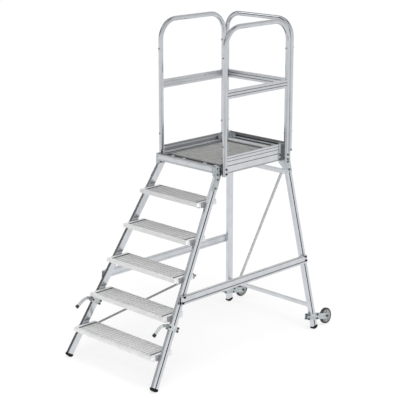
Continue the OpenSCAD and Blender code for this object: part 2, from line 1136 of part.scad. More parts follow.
module frame_bolts() {
    color("black")
        both() {
            for (p = concat(front_bolts, rear_bolts))
                translate([beam_out + gusset_t, p[0], p[1]])
                    bolt(prof_w + gusset_t);
            for (p = post_rows)
                translate([post_x + tube_d / 2, p[0], p[1]])
                    bolt(prof_w + gusset_t + tube_d);
            translate([post_x + tube_d / 2, hoop_y, beam_top + 22])
                bolt(gusset_t + tube_d);
            for (z = pin_levels)
                translate([post_x, post_back - tube_d / 2, z])
                    rotate([0, 0, -90])
                        bolt(2 * tube_d + seat);
            right_side() {
                for (s = gusset_stile)
                    on_stile()
                        translate([prof_w / 2 + gusset_t, 0, s])
                            slot_bolt(gusset_t);
                for (s = gusset_leg)
                    on_leg()
                        translate([prof_w / 2 + gusset_t, 0, s])
                            slot_bolt(gusset_t);
            }
        }
    color("black")
        for (s = [-1, 1])
            translate(diag_end(s) + [0, tab_t, 0])
                rotate([0, 0, 90])
                    bolt(tab_t + bar_t);
}

// Toe boards
toe_marks = [0.457, 0.786];

module side_toe() {
    translate([beam_out - toe_t / 2, toe_back, beam_top])
        rotate([90, 0, 0])
            linear_extrude(toe_back - toe_front)
                toe_section(toe_h, toe_marks);
}

module left_toe_board() {
    color("gainsboro")
        mirror([1, 0, 0])
            side_toe();
}

module right_toe_board() {
    color("gainsboro")
        side_toe();
}

module rear_toe_board() {
    color("gainsboro")
        translate([-toe_in, rear_out - toe_t / 2, deck_z])
            rotate([90, 0, 90])
                linear_extrude(2 * toe_in)
                    toe_section(toe_top - deck_z, []);
}

module toe_angles() {
    back = rear_out - toe_t;
    edge = 7;
    low = deck_z + edge;
    tall = toe_top - low - edge;
    side_lap = 40;
    back_lap = 60;
    color("darkgray")
        both() {
            translate([toe_in - sheet_t, toe_back - side_lap, low])
                cube([sheet_t, back - toe_back + side_lap, tall]);
            translate([toe_in - back_lap, back - sheet_t, low])
                cube([back_lap, sheet_t, tall]);
        }
}

// Guard rail hoops, drawn in the plane of the hoop with the first post at the origin
module hoop(span, lows, top, bend) {
    for (i = [0, 1])
        translate([i * span, 0, lows[i]])
            linear_extrude(top - bend - lows[i])
                ring(tube_d, tube_t);
    translate([bend, 0, top - bend])
        rotate([90, 0, 0])
            rotate([0, 0, 90])
                rotate_extrude(angle = 90)
                    translate([bend, 0])
                        ring(tube_d, tube_t);
    translate([span - bend, 0, top - bend])
        rotate([90, 0, 0])
            rotate_extrude(angle = 90)
                translate([bend, 0])
                    ring(tube_d, tube_t);
    translate([bend, 0, top])
        rotate([0, 90, 0])
            linear_extrude(span - 2 * bend)
                ring(tube_d, tube_t);
}

module plug_holes() {
    for (z = pin_levels)
        translate([post_x, post_front - tube_d / 2 - 1, z])
            rotate([-90, 0, 0])
                cylinder(h = tube_t + 3, d = bolt_d + 2 * hole_gap);
}

module side_hoop() {
    difference() {
        translate([post_x, post_front, 0])
            rotate([0, 0, 90])
                hoop(post_back - post_front, [post_bot, beam_bot], rail_z, bend_side);
        beam_holes();
        plug_holes();
        for (z = pin_levels)
            corner_pin(z);
    }
}

module left_guard_rail() {
    color("silver")
        mirror([1, 0, 0])
            side_hoop();
}

module right_guard_rail() {
    color("silver")
        side_hoop();
}

module rear_guard_rail() {
    color("silver")
        difference() {
            translate([-post_x, hoop_y, 0])
                hoop(2 * post_x, [hoop_bot, hoop_bot], rail_z, bend_rear);
            both() {
                hoop_hole();
                for (z = pin_levels)
                    corner_pin(z);
            }
        }
}

// Knee rails with coped ends
knee_t = 25;
knee_marks = [0.34, 0.69];

module post_core(y) {
    translate([post_x, y, 0])
        cylinder(h = rail_z, r = tube_d / 2 + seat);
}

module side_knee() {
    difference() {
        translate([post_x, post_back, deck_z + knee_up - knee_h])
            rotate([90, 0, 0])
                linear_extrude(post_back - post_front)
                    grooved(knee_t, knee_h, knee_marks);
        post_core(post_front);
        post_core(post_back);
    }
}

module left_knee_rail() {
    color("gainsboro")
        mirror([1, 0, 0])
            side_knee();
}

module right_knee_rail() {
    color("gainsboro")
        side_knee();
}

module rear_knee_rail() {
    color("gainsboro")
        difference() {
            translate([-post_x, hoop_y, deck_z + knee_up - knee_h])
                rotate([90, 0, 90])
                    linear_extrude(2 * post_x)
                        grooved(knee_t, knee_h, knee_marks);
            both()
                post_core(hoop_y);
        }
}

// Saddles that seat the round front posts on the flat side beams
module post_saddles() {
    color("darkgray")
        both()
            difference() {
                for (z = [bolt_hi, bolt_lo])
                    translate([beam_out, post_front - 13, z - 9])
                        cube([gusset_t + 5, 26, 18]);
                post_core(post_front);
                beam_holes();
            }
}

module rail_plugs() {
    color("black")
        both()
            for (z = pin_levels)
                translate([post_x, post_front - tube_d / 2 - 1.5, z])
                    rotate([-90, 0, 0]) {
                        cylinder(h = tube_t + 3, d = bolt_d);
                        translate([0, 0, -2.5])
                            cylinder(h = 3.2, r = 5.5);
                    }
}

// Castors, drawn along the line from the leg to the axle
castor_fore = 70;
castor_aft = 50;
castor_half = 24;
castor_bolts = [for (y = [12 - castor_fore, castor_aft - 9], z = [9 - castor_half, castor_half - 9]) [y, z]];
axle_boss = 21;

module castor_outline() {
    difference() {
        union() {
            polygon([[-castor_fore, -castor_half], [castor_aft, -castor_half], [castor_len, -axle_boss],
                     [castor_len, axle_boss], [castor_aft, castor_half], [-castor_fore, castor_half]]);
            translate([castor_len, 0])
                circle(axle_boss);
        }
        for (p = castor_bolts)
            translate(p)
                circle(d = bolt_d + 2 * hole_gap);
        translate([castor_len, 0])
            circle(d = axle_d + 2 * hole_gap);
    }
}

module castor_plates() {
    color("darkgray")
        both_sides()
            on_castor()
                for (x = [-prof_w / 2 - plate_t, prof_w / 2])
                    translate([x, 0, 0])
                        yz_plate(plate_t)
                            castor_outline();
}

module clamp_bolts() {
    grip = prof_w + 2 * plate_t;
    color("gray")
        both_sides() {
            on_castor()
                for (p = castor_bolts)
                    translate([grip / 2, p[0], p[1]])
                        bolt(grip);
            at_clamp()
                for (p = clamp_rows)
                    translate([grip / 2, p[0], p[1]])
                        bolt(grip);
        }
}

axle_head = 8;
axle_fit = 0.06;

module castor_axles() {
    grip = prof_w + 2 * plate_t;
    color("gray")
        both_sides()
            on_castor()
                translate([-grip / 2, castor_len, 0])
                    rotate([0, 90, 0]) {
                        translate([0, 0, -eps])
                            cylinder(h = grip + 2 * eps, d = axle_d);
                        for (z = [grip, -axle_head])
                            translate([0, 0, z])
                                cylinder(h = axle_head, r = axle_d * 0.9, $fn = hex);
                    }
}

rim_r = wheel_d / 2 - 15;

module tyre_section() {
    half = wheel_w / 2 - 1;
    crown = 6;
    translate([rim_r, -half])
        square([wheel_d / 2 - rim_r - crown, 2 * half]);
    translate([wheel_d / 2 - crown - eps, -half + crown])
        square([crown + eps, 2 * half - 2 * crown]);
    for (s = [-1, 1])
        translate([wheel_d / 2 - crown, s * (half - crown)])
            circle(crown);
}

module hub_section() {
    half = wheel_w / 2;
    bore_r = axle_d / 2 + axle_fit;
    boss_r = axle_d / 2 + 8;
    polygon([[bore_r, -half], [boss_r, -half], [boss_r + 2, -half + 5], [rim_r - 8, -half + 5],
             [rim_r - 6, -half + 1.5], [rim_r, -half + 1.5], [rim_r, half - 1.5], [rim_r - 6, half - 1.5],
             [rim_r - 8, half - 5], [boss_r + 2, half - 5], [boss_r, half], [bore_r, half]]);
}

module at_wheel() {
    right_side()
        on_castor()
            translate([0, castor_len, 0])
                rotate([0, 90, 0])
                    rotate_extrude($fn = 96)
                        children();
}

module left_tyre() {
    color("dimgray")
        mirror([1, 0, 0])
            at_wheel()
                tyre_section();
}

module right_tyre() {
    color("dimgray")
        at_wheel()
            tyre_section();
}

module left_hub() {
    color("darkgray")
        mirror([1, 0, 0])
            at_wheel()
                hub_section();
}

module right_hub() {
    color("darkgray")
        at_wheel()
            hub_section();
}

left_stile();
right_stile();
left_leg();
right_leg();
foot_plugs();
tread_1_frame();
tread_2_frame();
tread_3_frame();
tread_4_frame();
tread_5_frame();
tread_1_grating();
tread_2_grating();
tread_3_grating();
tread_4_grating();
tread_5_grating();
tread_brackets();
tread_bolts();
ladder_diagonal();
left_handle();
right_handle();
handle_clamps();
handle_caps();
left_side_brace();
right_side_brace();
brace_bolts();
rear_bottom_bar();
rear_top_bar();
rear_diagonal();
left_side_beam();
right_side_beam();
front_nose_beam();
rear_beam();
deck_bearers();
deck_grating();
deck_clips();
front_gussets();
rear_gussets();
frame_bolts();
left_toe_board();
right_toe_board();
rear_toe_board();
toe_angles();
left_guard_rail();
right_guard_rail();
rear_guard_rail();
left_knee_rail();
right_knee_rail();
rear_knee_rail();
post_saddles();
rail_plugs();
castor_plates();
clamp_bolts();
castor_axles();
left_tyre();
left_hub();
right_tyre();
right_hub();
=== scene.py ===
import bpy
import bmesh
from math import sin, cos, tan, atan, radians, pi
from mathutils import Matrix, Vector


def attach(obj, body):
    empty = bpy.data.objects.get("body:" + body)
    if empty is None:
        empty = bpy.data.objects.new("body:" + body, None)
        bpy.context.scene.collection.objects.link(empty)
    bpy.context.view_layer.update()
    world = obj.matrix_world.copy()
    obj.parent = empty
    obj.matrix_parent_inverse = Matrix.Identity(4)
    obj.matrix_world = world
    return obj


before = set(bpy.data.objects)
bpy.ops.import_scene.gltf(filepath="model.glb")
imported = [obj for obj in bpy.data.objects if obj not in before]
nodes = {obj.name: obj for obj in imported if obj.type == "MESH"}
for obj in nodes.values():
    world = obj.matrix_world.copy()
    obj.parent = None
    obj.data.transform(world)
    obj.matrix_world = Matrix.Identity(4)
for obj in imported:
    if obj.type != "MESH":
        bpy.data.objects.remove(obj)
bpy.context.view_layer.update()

scene = bpy.context.scene
scene.view_settings.view_transform = "Standard"
print("frame loaded", len(nodes), "nodes")

# main directions, the same as the solids follow
splay, stileRise, legRake = radians(7), radians(59.5), radians(7.6)
climb = atan(cos(splay) / tan(stileRise))
legLean = atan(tan(legRake) * cos(splay))
sideUp = {s: Vector((-s * sin(splay), 0, cos(splay))) for s in (-1, 1)}
sideOut = {s: Vector((s * cos(splay), 0, sin(splay))) for s in (-1, 1)}
stileDir = {s: Vector((0, sin(climb), 0)) + sideUp[s] * cos(climb) for s in (-1, 1)}
legDir = {s: Vector((0, -sin(legLean), 0)) + sideUp[s] * cos(legLean) for s in (-1, 1)}
xDir, yDir, zDir = Vector((1, 0, 0)), Vector((0, 1, 0)), Vector((0, 0, 1))


def newMaterial(name):
    m = bpy.data.materials.new(name)
    m.use_nodes = True
    nt = m.node_tree
    return m, nt, nt.nodes["Principled BSDF"]


def put(nt, kind, **props):
    n = nt.nodes.new(kind)
    for k, v in props.items():
        if k in n.inputs:
            n.inputs[k].default_value = v
        else:
            setattr(n, k, v)
    return n


def noise(nt, vector, **props):
    n = put(nt, "ShaderNodeTexNoise", **props)
    nt.links.new(vector, n.inputs["Vector"])
    return n


def splitXyz(nt, vector):
    n = put(nt, "ShaderNodeSeparateXYZ")
    nt.links.new(vector, n.inputs["Vector"])
    return n


# stops are (place, tone or colour)
def ramp(nt, fac, stops):
    n = nt.nodes.new("ShaderNodeValToRGB")
    el = n.color_ramp.elements
    while len(el) < len(stops):
        el.new(0.5)
    for e, (p, c) in zip(el, stops):
        e.position = p
        e.color = (c, c, c, 1) if isinstance(c, (int, float)) else (*c, 1)
    nt.links.new(fac, n.inputs["Fac"])
    return n


def mixColor(nt, mode, fac, a, b):
    n = nt.nodes.new("ShaderNodeMix")
    n.data_type = "RGBA"
    n.blend_type = mode
    for key, v in (("Factor", fac), ("A", a), ("B", b)):
        sock = next(i for i in n.inputs if i.name == key and i.enabled)
        if hasattr(v, "links"):
            nt.links.new(v, sock)
        else:
            sock.default_value = (*v, 1) if isinstance(v, tuple) else v
    return next(o for o in n.outputs if o.enabled)


def shaded(nt, c, tone, amount=1.0):
    return mixColor(nt, "MULTIPLY", amount, c, tone.outputs["Color"])


def addBump(nt, bsdf, height, strength, depth, normal=None):
    bump = put(nt, "ShaderNodeBump", Strength=strength, Distance=depth)
    if normal:
        nt.links.new(normal, bump.inputs["Normal"])
    nt.links.new(height, bump.inputs["Height"])
    nt.links.new(bump.outputs["Normal"], bsdf.inputs["Normal"])


def pickShader(nt, fac, first, second):
    n = put(nt, "ShaderNodeMixShader")
    for v, sock in zip((fac, first, second), n.inputs):
        nt.links.new(v, sock)
    return n.outputs["Shader"]


# darkens patches set by position: painted shade and painted reflections in grooves, gaps and where pieces
# meet; a patch has (middle, half width) on some axes and a tone; side is |x|
def darkenPatches(nt, co, c, patches):
    place = splitXyz(nt, co.outputs["Object"])
    side = put(nt, "ShaderNodeMath", operation="ABSOLUTE")
    nt.links.new(place.outputs["X"], side.inputs[0])
    for spans, tone in patches:
        mask = None
        for axis, (mid, half) in spans.items():
            near = put(nt, "ShaderNodeMath", operation="COMPARE")
            near.inputs[1].default_value = mid
            near.inputs[2].default_value = half
            where = side.outputs["Value"] if axis == "side" else place.outputs[axis]
            nt.links.new(where, near.inputs[0])
            if mask:
                both = put(nt, "ShaderNodeMath", operation="MULTIPLY")
                nt.links.new(mask.outputs["Value"], both.inputs[0])
                nt.links.new(near.outputs["Value"], both.inputs[1])
                near = both
            mask = near
        c = shaded(nt, c, ramp(nt, mask.outputs["Value"], [(0.0, 1.0), (1.0, tone)]))
    return c


# bearing bars of a grating; turned is how far a face looks sideways, beside is in parts of the pitch
gratingBar = {"thick": 0.0026, "pitch": 0.0333, "turned": (0.5, 0.8), "beside": (0.12, 0.22)}


# painted shade along the bearing bars: on their sideways faces and in the corners beside them
def barShade(nt, co, c, flat, start, pitch, sideTone, cornerTone):
    facing = put(nt, "ShaderNodeVectorMath", operation="ABSOLUTE")
    nt.links.new(flat.outputs["True Normal"], facing.inputs[0])
    split = splitXyz(nt, facing.outputs["Vector"])
    begin, full = gratingBar["turned"]
    c = shaded(nt, c, ramp(nt, split.outputs["X"], [(begin, 1.0), (full, sideTone)]))
    place = splitXyz(nt, co.outputs["Object"])
    count = put(nt, "ShaderNodeMapRange", clamp=False)
    count.inputs["From Min"].default_value = start
    count.inputs["From Max"].default_value = start + pitch
    nt.links.new(place.outputs["X"], count.inputs["Value"])
    near = put(nt, "ShaderNodeMath", operation="PINGPONG")  # 0 on a bar, 0.5 half way to the next
    near.inputs[1].default_value = 0.5
    nt.links.new(count.outputs["Result"], near.inputs[0])
    full, end = gratingBar["beside"]
    return shaded(nt, c, ramp(nt, near.outputs["Value"], [(full, cornerTone), (end, 1.0)]))


# the first bar's middle and the pitch of a grating, from its width
def barPlaces(o):
    half = max(c[0] for c in o.bound_box)
    run = 2 * half - gratingBar["thick"]
    return -run / 2, run / max(1, int(run / gratingBar["pitch"] + 0.5))


# drawn aluminium: streaks along the profile, cloudy handling marks, rubbed edges lightened with a painted
# highlight, fine die lines, painted shade in hollows and gaps
drawn = {"stretch": 0.02, "specks": [(0.25, 0.82), (0.34, 1.0)], "speckAmount": 0.6,
         "edge": 0.0015, "rubSheen": [(0.8, 0.5), (0.98, 0.0)], "rubbedSheen": (0.86, 0.87, 0.88),
         "smoother": 0.07, "rougher": 0.08, "cloudRough": 0.06, "lineBump": 0.10, "lineDepth": 0.0004}


def drawnMetal(name, along, tint, rough=0.3, streak=0.08, marks=0.08, reach=0.010, hollowShade=0.06, patches=(),
               metal=1.0, bars=(), alone=True):
    m, nt, bsdf = newMaterial(name)
    turn = along.normalized().rotation_difference(zDir).to_euler()
    co = put(nt, "ShaderNodeTexCoord")
    mp = put(nt, "ShaderNodeMapping", Rotation=turn, Scale=(1, 1, drawn["stretch"]))
    nt.links.new(co.outputs["Object"], mp.inputs["Vector"])
    lines = noise(nt, mp.outputs["Vector"], Scale=420.0, Detail=3.0, Roughness=0.6)
    cloud = noise(nt, co.outputs["Object"], Scale=14.0, Detail=4.0, Roughness=0.55)
    specks = noise(nt, co.outputs["Object"], Scale=160.0, Detail=2.0, Roughness=0.7)
    c = shaded(nt, tint, ramp(nt, lines.outputs["Fac"], [(0.3, 1 - streak), (0.7, 1.0)]))
    c = shaded(nt, c, ramp(nt, cloud.outputs["Fac"], [(0.32, 1 - marks), (0.62, 1.0)]))
    c = shaded(nt, c, ramp(nt, specks.outputs["Fac"], drawn["specks"]), drawn["speckAmount"])
    edge = put(nt, "ShaderNodeBevel", Radius=drawn["edge"], samples=4)
    flat = put(nt, "ShaderNodeNewGeometry")
    turnAway = put(nt, "ShaderNodeVectorMath", operation="DOT_PRODUCT")
    nt.links.new(edge.outputs["Normal"], turnAway.inputs[0])
    nt.links.new(flat.outputs["Normal"], turnAway.inputs[1])
    # edges lightened: rubbed wear and a painted highlight
    rubbedSheen = ramp(nt, turnAway.outputs["Value"], drawn["rubSheen"])
    c = mixColor(nt, "MIX", rubbedSheen.outputs["Color"], c, drawn["rubbedSheen"])
    # painted shade: darker where ambient occlusion finds hollows and gaps
    occlusionShade = put(nt, "ShaderNodeAmbientOcclusion", Distance=reach, samples=8, only_local=alone)
    c = shaded(nt, c, ramp(nt, occlusionShade.outputs["AO"], [(0.5, hollowShade), (0.9, 1.0)]))
    if patches:
        c = darkenPatches(nt, co, c, patches)
    if bars:
        c = barShade(nt, co, c, flat, *bars)
    nt.links.new(c, bsdf.inputs["Base Color"])
    dullness = ramp(nt, lines.outputs["Fac"],
                    [(0.25, rough - drawn["smoother"]), (0.75, rough + drawn["rougher"])])
    r = mixColor(nt, "ADD", drawn["cloudRough"], dullness.outputs["Color"], cloud.outputs["Color"])
    nt.links.new(r, bsdf.inputs["Roughness"])
    bsdf.inputs["Metallic"].default_value = metal
    addBump(nt, bsdf, lines.outputs["Fac"], drawn["lineBump"], drawn["lineDepth"], edge.outputs["Normal"])
    return m


# hot dip zinc: grey-green spangle with duller patches
zincCoat = {"spangle": [(0.2, 0.8), (0.8, 1.0)], "dull": [(0.35, 0.8), (0.65, 1.0)],
            "smoother": 0.1, "rougher": 0.12, "bump": 0.15, "depth": 0.0005}


def zincMetal(name, tint, rough=0.5, patches=(), metal=0.75):
    m, nt, bsdf = newMaterial(name)
    co = put(nt, "ShaderNodeTexCoord")
    cells = put(nt, "ShaderNodeTexVoronoi", Scale=130.0, Randomness=1.0)
    nt.links.new(co.outputs["Object"], cells.inputs["Vector"])
    grain = noise(nt, co.outputs["Object"], Scale=45.0, Detail=5.0, Roughness=0.6)
    grey = put(nt, "ShaderNodeRGBToBW")
    nt.links.new(cells.outputs["Color"], grey.inputs["Color"])
    c = shaded(nt, tint, ramp(nt, grey.outputs["Val"], zincCoat["spangle"]))
    c = shaded(nt, c, ramp(nt, grain.outputs["Fac"], zincCoat["dull"]))
    if patches:
        c = darkenPatches(nt, co, c, patches)
    nt.links.new(c, bsdf.inputs["Base Color"])
    dullness = ramp(nt, grey.outputs["Val"],
                    [(0.1, rough - zincCoat["smoother"]), (0.9, rough + zincCoat["rougher"])])
    nt.links.new(dullness.outputs["Color"], bsdf.inputs["Roughness"])
    bsdf.inputs["Metallic"].default_value = metal
    addBump(nt, bsdf, grain.outputs["Fac"], zincCoat["bump"], zincCoat["depth"])
    return m


# moulded plastic or rubber: fine grain, dust in patches
moulded = {"dust": [(0.42, 0.0), (0.72, 0.6)], "grain": [(0.3, 0.8), (0.7, 1.0)],
           "smoother": 0.06, "rougher": 0.2, "bump": 0.3}


def mouldedPlastic(name, tint, dust, rough, grainScale, depth, shine=0.5):
    m, nt, bsdf = newMaterial(name)
    co = put(nt, "ShaderNodeTexCoord")
    grain = noise(nt, co.outputs["Object"], Scale=grainScale, Detail=4.0, Roughness=0.65)
    soil = noise(nt, co.outputs["Object"], Scale=32.0, Detail=3.0, Roughness=0.5)
    amount = ramp(nt, soil.outputs["Fac"], moulded["dust"])
    c = mixColor(nt, "MIX", amount.outputs["Color"], tint, dust)
    c = shaded(nt, c, ramp(nt, grain.outputs["Fac"], moulded["grain"]))
    nt.links.new(c, bsdf.inputs["Base Color"])
    dullness = ramp(nt, soil.outputs["Fac"],
                    [(0.3, rough - moulded["smoother"]), (0.75, min(1.0, rough + moulded["rougher"]))])
    nt.links.new(dullness.outputs["Color"], bsdf.inputs["Roughness"])
    bsdf.inputs["Specular IOR Level"].default_value = shine
    addBump(nt, bsdf, grain.outputs["Fac"], moulded["bump"], depth)
    return m


silver = (0.675, 0.70, 0.735)
pale = (0.685, 0.705, 0.735)

# painted shade and painted reflections, set by position: in grooves, recesses and gaps and where other
# pieces meet
# painted shade in the two grooves of the knee rails
kneeGrooveShade = (({"Z": (1.9364, 0.0035)}, 0.72), ({"Z": (1.9574, 0.0035)}, 0.72))
# painted shade in the joint under the toe boards and in their two grooves
toeGrooveShade = (({"Z": (1.422, 0.003)}, 0.3), ({"Z": (1.454, 0.003)}, 0.72), ({"Z": (1.477, 0.003)}, 0.72))
# painted shade in the recesses of the left toe board's inner face
leftToeRecessShade = (({"Z": (1.4885, 0.0065)}, 0.4), ({"Z": (1.4555, 0.009)}, 0.55))
# painted shade in the recesses of the rear toe board's inner face
rearToeRecessShade = (({"Z": (1.4895, 0.0055)}, 0.3), ({"Z": (1.4735, 0.0105)}, 0.5),
                ({"Z": (1.4445, 0.003)}, 0.5))
# painted shade on the rear beam's front face
rearBeamShade = (({"Z": (1.4245, 0.0045)}, 0.35),)
# painted shade on the joint under the toe board, along the beam's lower edge and beside the front post
beamShade = (({"Z": (1.422, 0.003)}, 0.3), ({"Z": (1.368, 0.010)}, 0.6),
             ({"Y": (-0.137, 0.014)}, 0.2))
# painted shade in the brace's groove
braceGrooveShade = (({"Z": (0.564, 0.005)}, 0.62),)
# painted shade along the back of the nose top and along its lower edge
noseEdgeShade = (({"Y": (-0.1765, 0.0065)}, 0.4), ({"Y": (-0.188, 0.005)}, 0.7),
             ({"Z": (1.396, 0.008)}, 0.76))
# painted shade in the gap behind the nose and along the deck's rear edge
deckEdgeShade = (({"Y": (-0.100, 0.013)}, 0.15), ({"Y": (-0.080, 0.007)}, 0.6),
             ({"Y": (0.5272, 0.008)}, 0.35))
# painted shade on the deck grating's bar sides and corners
deckBarShade = {"side": 0.35, "corner": 0.7}
# painted shade in a band on the front gussets beside the post
frontGussetShade = (({"Y": (-0.146, 0.008)}, 0.6),)
# painted dark reflection of the rear post on the gusset in front of it
rearGussetReflection = (({"Y": (0.519, 0.013), "Z": (1.43, 0.065)}, 0.4),)
# frame bolts darker at the given places
boltDarkening = (({"Y": (-0.1166, 0.012), "Z": (1.395, 0.03)}, 0.12),
             ({"Y": (0.5482, 0.012), "Z": (1.395, 0.03)}, 0.3),
             ({"Y": (-0.188, 0.032)}, 0.4),
             ({"Y": (0.594, 0.016), "Z": (1.315, 0.045)}, 0.4),
             ({"Y": (0.500, 0.010)}, 0.25))
# painted shade on the handle bends near the clamps
handleBendShade = (({"Y": (-0.780, 0.036)}, 0.55),)

looks = {
    "stileR": drawnMetal("stile_right_alu", stileDir[1], silver, rough=0.24),
    "stileL": drawnMetal("stile_left_alu", stileDir[-1], silver, rough=0.2),
    "legR": drawnMetal("leg_right_alu", legDir[1], silver),
    "legL": drawnMetal("leg_left_alu", legDir[-1], silver),
    "aluX": drawnMetal("cross_alu", xDir, pale),
    "nose": drawnMetal("nose_beam_alu", xDir, pale, patches=noseEdgeShade),
    "beam": drawnMetal("side_beam_alu", yDir, pale, patches=beamShade),
    "toe": drawnMetal("toe_board_alu", yDir, pale, reach=0.012, hollowShade=0.35, patches=toeGrooveShade),
    # painted light: the left and rear toe boards have lighter tints than the right one, lit copies of the
    # same board
    "toeL": drawnMetal("left_toe_alu", yDir, (0.92, 0.95, 0.99), reach=0.012, hollowShade=0.3,
                       patches=leftToeRecessShade, metal=0.85),
    "toeX": drawnMetal("rear_toe_alu", xDir, (0.91, 0.94, 0.98), reach=0.012, hollowShade=0.2,
                       patches=rearToeRecessShade),
    "rail": drawnMetal("rail_tube_alu", zDir, (0.60, 0.62, 0.65), rough=0.11),
    "brace": drawnMetal("side_brace_alu", yDir, pale, reach=0.02, hollowShade=0.0, patches=braceGrooveShade),
    "braceL": drawnMetal("left_brace_alu", yDir, pale, hollowShade=0.75),
    "kneeY": drawnMetal("side_knee_alu", yDir, (0.63, 0.65, 0.68), patches=kneeGrooveShade),
    "kneeL": drawnMetal("left_knee_alu", yDir, (0.62, 0.635, 0.66), hollowShade=0.85),
    "kneeX": drawnMetal("rear_knee_alu", xDir, (0.62, 0.64, 0.67), patches=kneeGrooveShade),
    "deck": drawnMetal("deck_grating_alu", yDir, (0.58, 0.585, 0.57), rough=0.4, marks=0.2, hollowShade=1.0,
                       metal=0.3, patches=deckEdgeShade,
                       bars=(*barPlaces(nodes["deck_grating"]), deckBarShade["side"], deckBarShade["corner"])),
    "rearBeam": drawnMetal("rear_beam_alu", xDir, (0.78, 0.785, 0.79), metal=0.55, patches=rearBeamShade),
    # a shaded copy of the zinc plate: a painted darker tint
    "frontGusset": zincMetal("zinc_front_gusset", (0.53, 0.575, 0.585), patches=frontGussetShade),
    "rearGusset": zincMetal("zinc_rear_gusset", (0.58, 0.63, 0.64), patches=rearGussetReflection),
    "frameBolt": zincMetal("zinc_frame_bolt", (0.46, 0.465, 0.47), rough=0.45, patches=boltDarkening),
    "zinc": zincMetal("zinc_plate", (0.58, 0.63, 0.64)),
    "zincTube": zincMetal("zinc_tube", (0.49, 0.515, 0.515), patches=handleBendShade, metal=0.25),
    "clamp": zincMetal("zinc_clamp", (0.70, 0.74, 0.74)),
    "bolt": zincMetal("zinc_bolt", (0.72, 0.73, 0.73), rough=0.4),
    "weld": zincMetal("weld_bead", (0.74, 0.75, 0.76), rough=0.35),
    "shade": zincMetal("zinc_in_shade", (0.42, 0.425, 0.425), rough=0.6),
    "darkBolt": zincMetal("dark_bolt", (0.10, 0.10, 0.105)),
    "blackBolt": zincMetal("black_bolt", (0.03, 0.03, 0.032)),
    "diagonal": zincMetal("zinc_diagonal", (0.50, 0.505, 0.505), metal=0.2),
    "bracket": zincMetal("dark_bracket", (0.48, 0.48, 0.50)),
    "rod": zincMetal("dark_rod", (0.42, 0.425, 0.43), rough=0.4),
    "plug": mouldedPlastic("grey_plug", (0.10, 0.10, 0.10), (0.14, 0.14, 0.14),
                           rough=0.5, grainScale=800.0, depth=0.0002),
    "cap": mouldedPlastic("pale_cap", (0.72, 0.725, 0.73), (0.58, 0.58, 0.57),
                          rough=0.45, grainScale=600.0, depth=0.0002),
    "black": mouldedPlastic("black_plastic", (0.004, 0.004, 0.004), (0.012, 0.012, 0.012),
                            rough=0.3, grainScale=900.0, depth=0.0003, shine=0.1),
    "handleCap": mouldedPlastic("dark_cap", (0.02, 0.02, 0.02), (0.05, 0.05, 0.05),
                                rough=0.5, grainScale=900.0, depth=0.0003, shine=0.2),
    "tyre": mouldedPlastic("grey_rubber", (0.028, 0.028, 0.028), (0.06, 0.06, 0.058),
                           rough=0.6, grainScale=700.0, depth=0.0005),
    "hub": mouldedPlastic("grey_hub", (0.30, 0.31, 0.305), (0.23, 0.23, 0.225),
                          rough=0.45, grainScale=500.0, depth=0.0003),
}

wear = {
    "left_stile": "stileL", "right_stile": "stileR", "left_leg": "legL", "right_leg": "legR",
    "foot_plugs": "black", "tread_brackets": "bracket", "tread_bolts": "bolt", "ladder_diagonal": "rod",
    "left_handle": "zincTube", "right_handle": "zincTube", "handle_clamps": "clamp",
    "handle_caps": "handleCap",
    "left_side_brace": "braceL", "right_side_brace": "brace", "brace_bolts": "blackBolt",
    "rear_bottom_bar": "aluX", "rear_top_bar": "aluX", "rear_diagonal": "diagonal",
    "left_side_beam": "beam", "right_side_beam": "beam", "front_nose_beam": "nose",
    "rear_beam": "rearBeam", "deck_bearers": "shade", "deck_grating": "deck", "deck_clips": "zincTube",
    "front_gussets": "frontGusset", "rear_gussets": "rearGusset", "frame_bolts": "frameBolt",
    "left_toe_board": "toeL", "right_toe_board": "toe", "rear_toe_board": "toeX", "toe_angles": "zinc",
    "left_guard_rail": "rail", "right_guard_rail": "rail", "rear_guard_rail": "rail",
    "left_knee_rail": "kneeL", "right_knee_rail": "kneeY", "rear_knee_rail": "kneeX",
    "post_saddles": "zinc", "rail_plugs": "plug", "castor_plates": "zinc", "clamp_bolts": "darkBolt",
    "castor_axles": "darkBolt", "left_tyre": "tyre", "right_tyre": "tyre",
    "left_hub": "hub", "right_hub": "hub",
}

# treads from the lowest up: painted shade makes the upper ones darker, frame and grating alike; the third
# carries painted shade at its rear end where the rod ends
treads = {"frame": (0.76, 0.75, 0.73, 0.69, 0.63), "cool": 0.005,
          "grating": (0.95, 0.92, 0.88, 0.79, 0.68),
          "barCornerShade": (0.9, 0.82, 0.74, 0.72, 0.68), "barSideShade": 0.4,
          "gap": 0.0035, "gapHalf": 0.0075, "gapShade": 0.15, "deepHalf": 0.1,
          "rod": 3, "rodEndShade": ({"X": (0.35, 0.02), "Y": (-0.456, 0.008)}, 0.2)}
tones = zip(treads["frame"], treads["grating"], treads["barCornerShade"])
for k, (rim, bright, corner) in enumerate(tones, 1):
    o = nodes["tread_%d_grating" % k]
    box = [Vector(c) for c in o.bound_box]
    reach = max(c.x for c in box) + treads["gap"]
    behind = min(c.y for c in box) + treads["deepHalf"]
    spans = {"side": (reach, treads["gapHalf"]), "Y": (behind, treads["deepHalf"])}
    # painted shade in the gap between the grating and the tread's end box
    gap = ((spans, treads["gapShade"]),)
    looks["tread%d" % k] = drawnMetal(
        "tread_%d_alu" % k, xDir, (rim, rim, rim + treads["cool"]), rough=0.36, metal=0.5, reach=0.015,
        alone=False, patches=gap + (treads["rodEndShade"],) if k == treads["rod"] else gap)
    looks["grate%d" % k] = drawnMetal(
        "grating_%d_alu" % k, yDir, (bright, bright, bright), rough=0.4, marks=0.04, hollowShade=1.0, metal=0.15,
        bars=(*barPlaces(o), treads["barSideShade"], corner), patches=gap)
    wear["tread_%d_frame" % k] = "tread%d" % k
    wear["tread_%d_grating" % k] = "grate%d" % k
